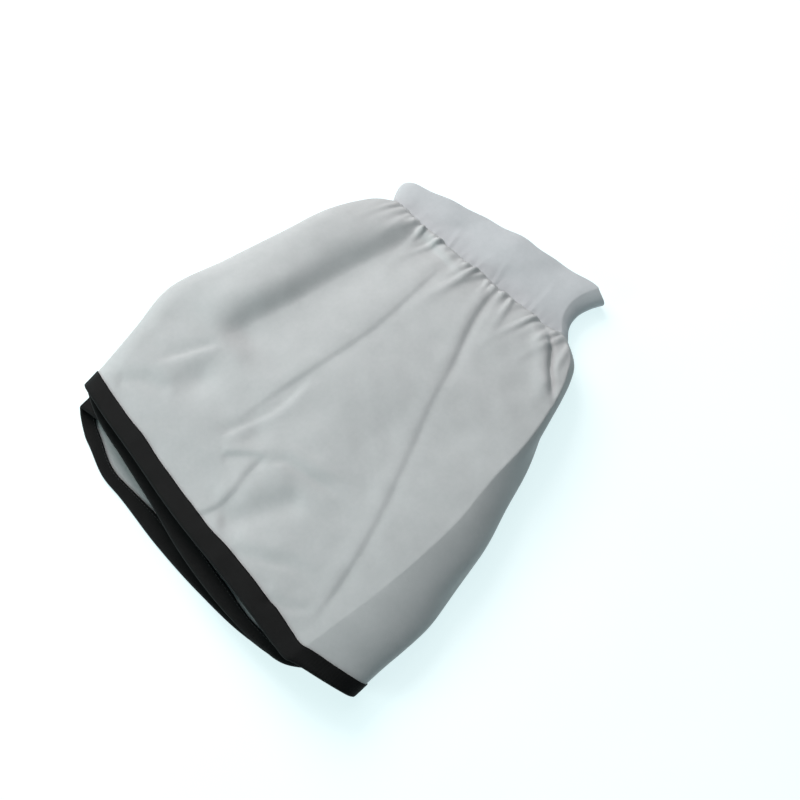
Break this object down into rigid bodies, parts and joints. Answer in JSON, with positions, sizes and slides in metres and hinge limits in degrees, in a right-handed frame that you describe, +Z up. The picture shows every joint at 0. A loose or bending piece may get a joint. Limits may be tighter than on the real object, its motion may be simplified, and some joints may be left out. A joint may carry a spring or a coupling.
{
  "type": "dust collector filter bag",
  "caption": "Cloth filter bag of a dust collector, folded in half and laid flat: wide mouth with a bound hem, gathered neck and plain cuff.",
  "frame": {"origin": "middle of the underside, on the surface that the folded bag lies on", "axes": "+Y along the bag from the mouth to the neck, +X from the two sewn side edges to the thick rounded fold, +Z up"},
  "size_m": [0.4359, 0.5156, 0.0551],
  "materials": {
    "felt": "matt needled felt",
    "cuff_cloth": "matt smooth woven cloth",
    "binding_tape": "black woven tape",
    "black_thread": "polyester sewing thread",
    "white_thread": "polyester sewing thread"
  },
  "bodies": {
    "root": {"outer_panel": "felt", "inner_panel": "felt", "outer_cuff": "cuff_cloth", "inner_cuff": "cuff_cloth", "mouth_binding": "binding_tape", "binding_stitching": "black_thread", "neck_stitching": "white_thread", "cuff_edge_stitching": "white_thread", "upper_side_stitching": "white_thread", "lower_side_stitching": "white_thread"}
  },
  "joints": []
}
